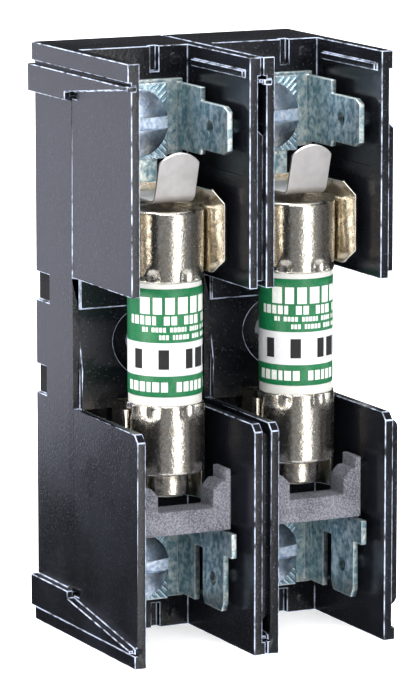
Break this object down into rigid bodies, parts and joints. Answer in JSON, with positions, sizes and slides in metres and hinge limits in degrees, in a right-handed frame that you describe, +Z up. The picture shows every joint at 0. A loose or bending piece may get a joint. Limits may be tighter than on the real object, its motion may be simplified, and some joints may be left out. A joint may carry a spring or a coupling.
{
  "type": "fuse block",
  "caption": "Open panel-mounted fuse block with spring clips, screw clamps and push-on tabs, holding pull-out cartridge fuses side by side.",
  "frame": {"origin": "on the panel face, midway between the two mounting holes", "axes": "+Z up along the fuses, +Y into the panel, the open front faces -Y, +X from the left pole to the right pole"},
  "size_m": [0.0397, 0.0323, 0.079],
  "materials": {
    "housing": "moulded black thermoplastic, semi-gloss",
    "rejection_moulding": "textured black thermoplastic",
    "terminal_zinc": "bright zinc plate with a blue tint",
    "clip_nickel": "bright nickel plate",
    "spring_steel": "matte spring steel",
    "clamp_zinc": "bright zinc plate with a blue tint",
    "screw_zinc": "bright zinc plate with a blue tint",
    "rivet_steel": "nickel-plated steel",
    "fuse_tube": "off-white glass-filled tube",
    "fuse_label": "printed wrap in green and white bands",
    "cap_nickel": "bright nickel plate",
    "element_copper": "copper strip",
    "filler_sand": "packed quartz sand"
  },
  "bodies": {
    "root": {"left_pole_body": "housing", "left_rejection_plate": "rejection_moulding", "left_line_terminal": "terminal_zinc", "left_line_clip": "clip_nickel", "left_end_spring": "spring_steel", "left_load_terminal": "terminal_zinc", "left_load_clip": "clip_nickel", "left_rivets": "rivet_steel", "right_pole_body": "housing", "right_rejection_plate": "rejection_moulding", "right_line_terminal": "terminal_zinc", "right_line_clip": "clip_nickel", "right_end_spring": "spring_steel", "right_load_terminal": "terminal_zinc", "right_load_clip": "clip_nickel", "right_rivets": "rivet_steel"},
    "left_fuse": {"left_fuse_tube": "fuse_tube", "left_fuse_label": "fuse_label", "left_fuse_upper_cap": "cap_nickel", "left_fuse_lower_cap": "cap_nickel", "left_fuse_tip": "cap_nickel", "left_fuse_element": "element_copper", "left_fuse_filler": "filler_sand"},
    "left_line_clamp": {"left_line_clamp_plate": "clamp_zinc"},
    "left_line_screw": {"left_line_screw": "screw_zinc"},
    "left_load_clamp": {"left_load_clamp_plate": "clamp_zinc"},
    "left_load_screw": {"left_load_screw": "screw_zinc"},
    "right_fuse": {"right_fuse_tube": "fuse_tube", "right_fuse_label": "fuse_label", "right_fuse_upper_cap": "cap_nickel", "right_fuse_lower_cap": "cap_nickel", "right_fuse_tip": "cap_nickel", "right_fuse_element": "element_copper", "right_fuse_filler": "filler_sand"},
    "right_line_clamp": {"right_line_clamp_plate": "clamp_zinc"},
    "right_line_screw": {"right_line_screw": "screw_zinc"},
    "right_load_clamp": {"right_load_clamp_plate": "clamp_zinc"},
    "right_load_screw": {"right_load_screw": "screw_zinc"}
  },
  "joints": [
    {"name": "left_fuse_pull", "type": "slide", "parent": "root", "child": "left_fuse", "axis": [0, -1, 0], "range_m": [0, 0.025]},
    {"name": "left_line_clamp_lift", "type": "slide", "parent": "root", "child": "left_line_clamp", "axis": [0, -1, 0], "range_m": [0, 0.00258]},
    {"name": "left_line_screw_turn", "type": "hinge", "parent": "left_line_clamp", "child": "left_line_screw", "pos_m": [-0.01255, -0.0162, 0.0298], "axis": [0, -1, 0], "range_deg": [0, 1170]},
    {"name": "left_load_clamp_lift", "type": "slide", "parent": "root", "child": "left_load_clamp", "axis": [0, -1, 0], "range_m": [0, 0.00258]},
    {"name": "left_load_screw_turn", "type": "hinge", "parent": "left_load_clamp", "child": "left_load_screw", "pos_m": [-0.01255, -0.0162, -0.0298], "axis": [0, -1, 0], "range_deg": [0, 1170]},
    {"name": "right_fuse_pull", "type": "slide", "parent": "root", "child": "right_fuse", "axis": [0, -1, 0], "range_m": [0, 0.025]},
    {"name": "right_line_clamp_lift", "type": "slide", "parent": "root", "child": "right_line_clamp", "axis": [0, -1, 0], "range_m": [0, 0.00258]},
    {"name": "right_line_screw_turn", "type": "hinge", "parent": "right_line_clamp", "child": "right_line_screw", "pos_m": [0.00675, -0.0162, 0.0298], "axis": [0, -1, 0], "range_deg": [0, 1170]},
    {"name": "right_load_clamp_lift", "type": "slide", "parent": "root", "child": "right_load_clamp", "axis": [0, -1, 0], "range_m": [0, 0.00258]},
    {"name": "right_load_screw_turn", "type": "hinge", "parent": "right_load_clamp", "child": "right_load_screw", "pos_m": [0.00675, -0.0162, -0.0298], "axis": [0, -1, 0], "range_deg": [0, 1170]}
  ],
  "couplings": [
    {"joint": "left_line_screw_turn", "follows": "left_line_clamp_lift", "rad_per_m": 7913.3},
    {"joint": "left_load_screw_turn", "follows": "left_load_clamp_lift", "rad_per_m": 7913.3},
    {"joint": "right_line_screw_turn", "follows": "right_line_clamp_lift", "rad_per_m": 7913.3},
    {"joint": "right_load_screw_turn", "follows": "right_load_clamp_lift", "rad_per_m": 7913.3}
  ]
}
